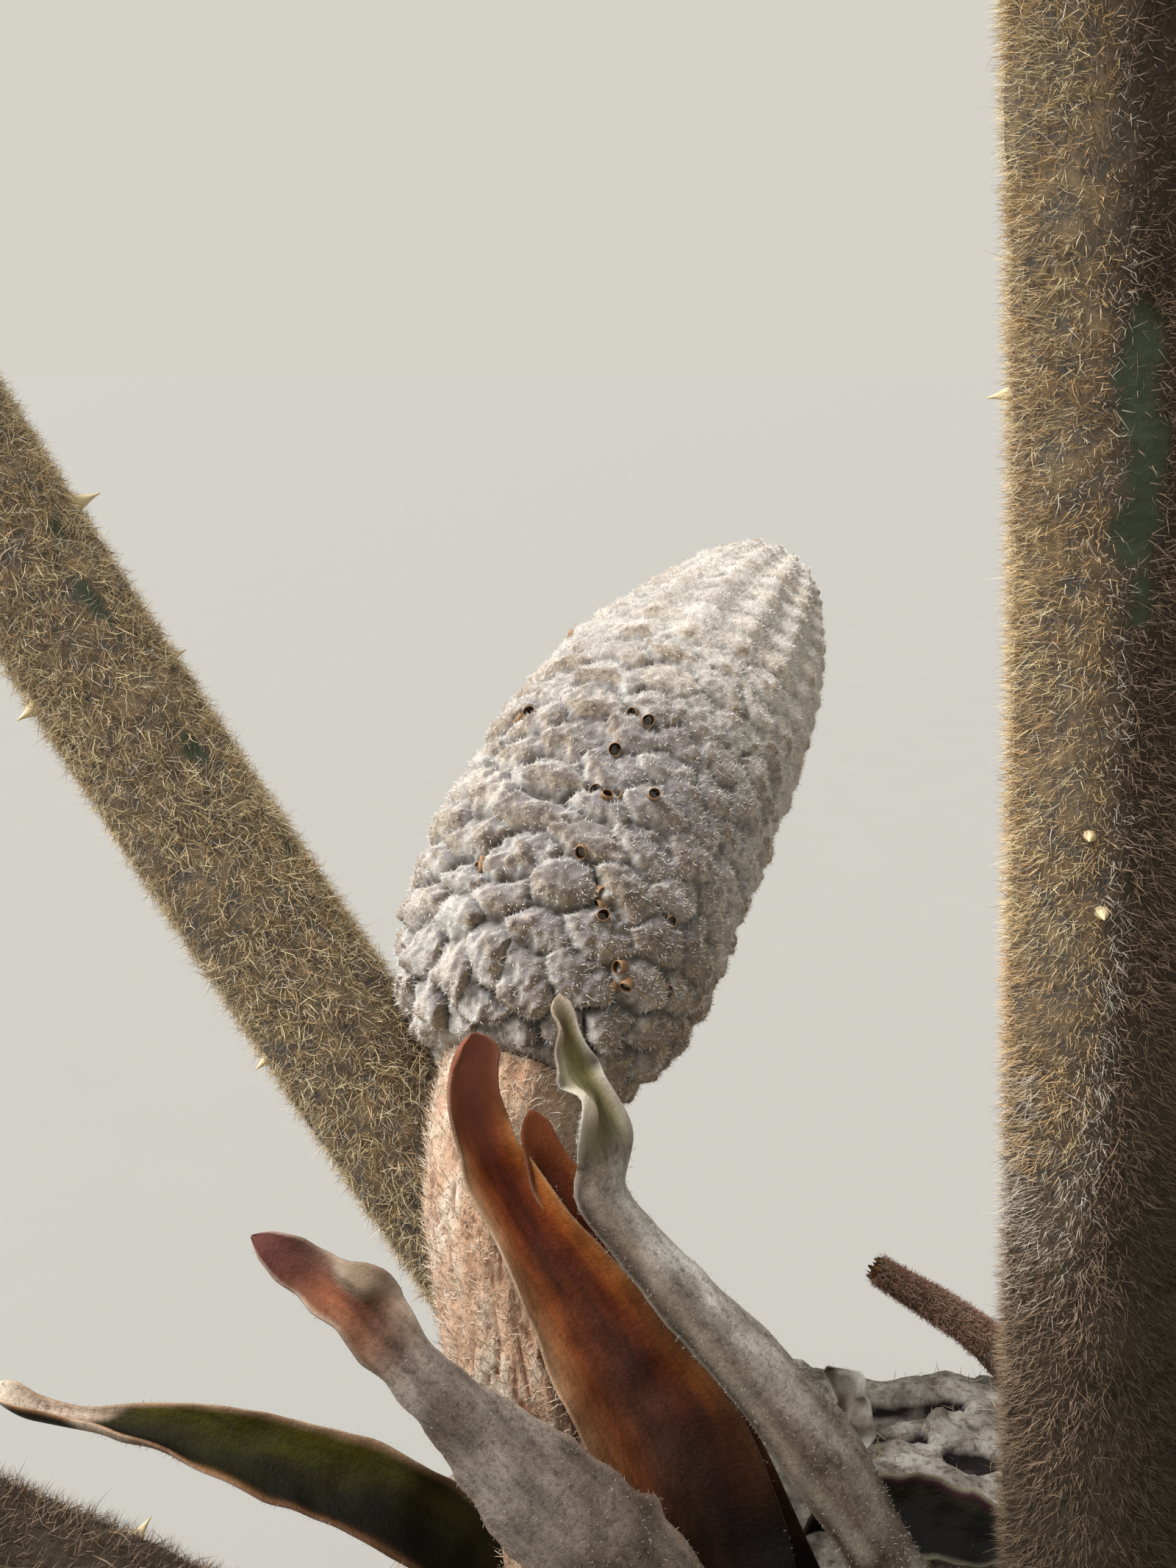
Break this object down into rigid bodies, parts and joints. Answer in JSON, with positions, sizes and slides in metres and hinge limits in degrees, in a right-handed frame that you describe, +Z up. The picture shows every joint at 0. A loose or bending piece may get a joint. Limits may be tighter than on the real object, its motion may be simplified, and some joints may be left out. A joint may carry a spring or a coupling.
{
  "type": "cardboard palm crown with pollen cone",
  "caption": "Heart of a cardboard palm cut from its crown: short stem, woolly stalk with a spent pollen cone, dry scale leaves and cut leaf stalks.",
  "frame": {"origin": "middle of the flat cut under the stem, at ground level", "axes": "+Z up, -Y towards the viewer of the picture, +X to the right of it"},
  "size_m": [0.1356, 0.1041, 0.1797],
  "materials": {
    "bark": "rough grey corky bark with old leaf scars",
    "cream_wool": "cream to peach plant wool with brown cracks",
    "cone_felt": "cream-grey velvety scale faces, ochre and brown in the hollows",
    "brown_hair": "dense matted brown and straw-coloured hairs",
    "dry_scale": "dry red-brown inner face with a pale felted back",
    "grey_felt": "grey-cream felt over a dry brown blade",
    "olive_scale": "olive-brown inner face with a pale rim",
    "dark_scale": "dark dried blade with a pale rim"
  },
  "bodies": {
    "root": {"stem": "bark", "cone_stalk": "cream_wool", "pollen_cone": "cone_felt", "petiole_left": "brown_hair", "petiole_right": "brown_hair", "petiole_front": "brown_hair", "scale_leaf_hooded": "dry_scale", "scale_leaf_inner": "dry_scale", "scale_leaf_felted": "grey_felt", "scale_leaf_kinked": "grey_felt", "scale_leaf_spreading": "olive_scale", "scale_leaf_dark": "dark_scale", "scale_leaf_ring_1": "grey_felt", "scale_leaf_ring_2": "grey_felt", "scale_leaf_ring_3": "grey_felt", "scale_leaf_ring_4": "grey_felt", "scale_leaf_ring_5": "grey_felt", "scale_leaf_ring_6": "grey_felt", "old_leaf_foot_1": "brown_hair", "old_leaf_foot_2": "brown_hair", "old_leaf_foot_3": "brown_hair", "old_leaf_foot_4": "brown_hair", "old_leaf_foot_5": "brown_hair", "old_cone_stalk": "brown_hair", "dry_flake": "dry_scale"}
  },
  "joints": []
}
